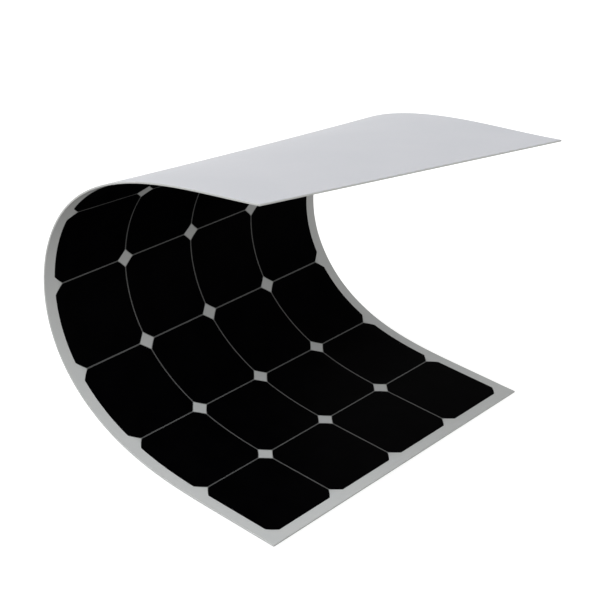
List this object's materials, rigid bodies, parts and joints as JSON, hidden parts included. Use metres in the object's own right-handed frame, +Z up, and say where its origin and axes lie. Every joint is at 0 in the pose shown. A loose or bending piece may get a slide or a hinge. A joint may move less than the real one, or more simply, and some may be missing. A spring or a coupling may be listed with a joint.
{
  "type": "flexible solar sheet",
  "caption": "Thin flexible solar laminate of black cells on a pale backing, curled over on itself, with a junction box under its front end.",
  "frame": {"origin": "middle of the bottom of the whole object's box, level with the outer face of the junction box lid", "axes": "+Z up; +X along the level front end, away from its free edge; +Y across the sheet, to the left when looking along +X"},
  "size_m": [0.4628, 0.5768, 0.4864],
  "materials": {
    "backing": "pale grey-white back sheet on a glass-fibre laminate, fine satin grain",
    "cell": "black back-contact silicon wafer, no lines on its face",
    "front_film": "clear fluoropolymer front film, low gloss",
    "bus_ribbon": "tinned copper ribbon",
    "junction_box": "black moulded plastic, fine spark-eroded texture",
    "seal": "matt black silicone",
    "diode": "moulded epoxy body"
  },
  "bodies": {
    "row_1": {"backing_row_1": "backing", "front_film_row_1": "front_film", "cell_row_1_column_1": "cell", "cell_row_1_column_2": "cell", "cell_row_1_column_3": "cell", "cell_row_1_column_4": "cell", "bus_ribbon_positive": "bus_ribbon", "bus_ribbon_negative": "bus_ribbon", "bus_ribbon_front_link": "bus_ribbon", "junction_box_base": "junction_box", "junction_box_lid": "junction_box", "junction_box_seal": "seal", "cable_gland_1": "junction_box", "cable_gland_2": "junction_box", "bypass_diode_1": "diode", "bypass_diode_2": "diode"},
    "row_2": {"backing_row_2": "backing", "front_film_row_2": "front_film", "cell_row_2_column_1": "cell", "cell_row_2_column_2": "cell", "cell_row_2_column_3": "cell", "cell_row_2_column_4": "cell"},
    "row_3": {"backing_row_3": "backing", "front_film_row_3": "front_film", "cell_row_3_column_1": "cell", "cell_row_3_column_2": "cell", "cell_row_3_column_3": "cell", "cell_row_3_column_4": "cell"},
    "row_4": {"backing_row_4": "backing", "front_film_row_4": "front_film", "cell_row_4_column_1": "cell", "cell_row_4_column_2": "cell", "cell_row_4_column_3": "cell", "cell_row_4_column_4": "cell"},
    "row_5": {"backing_row_5": "backing", "front_film_row_5": "front_film", "cell_row_5_column_1": "cell", "cell_row_5_column_2": "cell", "cell_row_5_column_3": "cell", "cell_row_5_column_4": "cell"},
    "row_6": {"backing_row_6": "backing", "front_film_row_6": "front_film", "cell_row_6_column_1": "cell", "cell_row_6_column_2": "cell", "cell_row_6_column_3": "cell", "cell_row_6_column_4": "cell"},
    "row_7": {"backing_row_7": "backing", "front_film_row_7": "front_film", "cell_row_7_column_1": "cell", "cell_row_7_column_2": "cell", "cell_row_7_column_3": "cell", "cell_row_7_column_4": "cell"},
    "row_8": {"backing_row_8": "backing", "front_film_row_8": "front_film", "cell_row_8_column_1": "cell", "cell_row_8_column_2": "cell", "cell_row_8_column_3": "cell", "cell_row_8_column_4": "cell", "bus_ribbon_rear_link_1": "bus_ribbon", "bus_ribbon_rear_link_2": "bus_ribbon"}
  },
  "joints": [
    {"name": "fold_1", "type": "hinge", "parent": "row_1", "child": "row_2", "pos_m": [-0.05562, -0.01835, 0.01526], "axis": [0.0008, 1, 0.0001], "range_deg": [0, 6.93]},
    {"name": "fold_2", "type": "hinge", "parent": "row_2", "child": "row_3", "pos_m": [0.07038, -0.01836, 0.0308], "axis": [0.0121, 0.9999, 0.0027], "range_deg": [0, 23.69]},
    {"name": "fold_3", "type": "hinge", "parent": "row_3", "child": "row_4", "pos_m": [0.17873, -0.01829, 0.09519], "axis": [0.0247, 0.9996, 0.0113], "range_deg": [0, 38.62]},
    {"name": "fold_4", "type": "hinge", "parent": "row_4", "child": "row_5", "pos_m": [0.22281, -0.01725, 0.212], "axis": [0.0313, 0.9989, 0.0355], "range_deg": [0, 42.16]},
    {"name": "fold_5", "type": "hinge", "parent": "row_5", "child": "row_6", "pos_m": [0.17707, -0.01337, 0.32861], "axis": [0.0216, 0.9977, 0.0636], "range_deg": [0, 34.69]},
    {"name": "fold_6", "type": "hinge", "parent": "row_6", "child": "row_7", "pos_m": [0.07251, -0.00519, 0.39919], "axis": [-0.0094, 0.9962, 0.0863], "range_deg": [0, 17.75]},
    {"name": "fold_7", "type": "hinge", "parent": "row_7", "child": "row_8", "pos_m": [-0.04891, 0.00592, 0.43493], "axis": [-0.1002, 0.9888, 0.1105], "range_deg": [0, 5.64]}
  ],
  "couplings": [
    {"joint": "fold_1", "follows": "fold_4", "ratio": 0.16437},
    {"joint": "fold_2", "follows": "fold_4", "ratio": 0.5619},
    {"joint": "fold_3", "follows": "fold_4", "ratio": 0.91603},
    {"joint": "fold_5", "follows": "fold_4", "ratio": 0.82281},
    {"joint": "fold_6", "follows": "fold_4", "ratio": 0.42101},
    {"joint": "fold_7", "follows": "fold_4", "ratio": 0.13377}
  ]
}
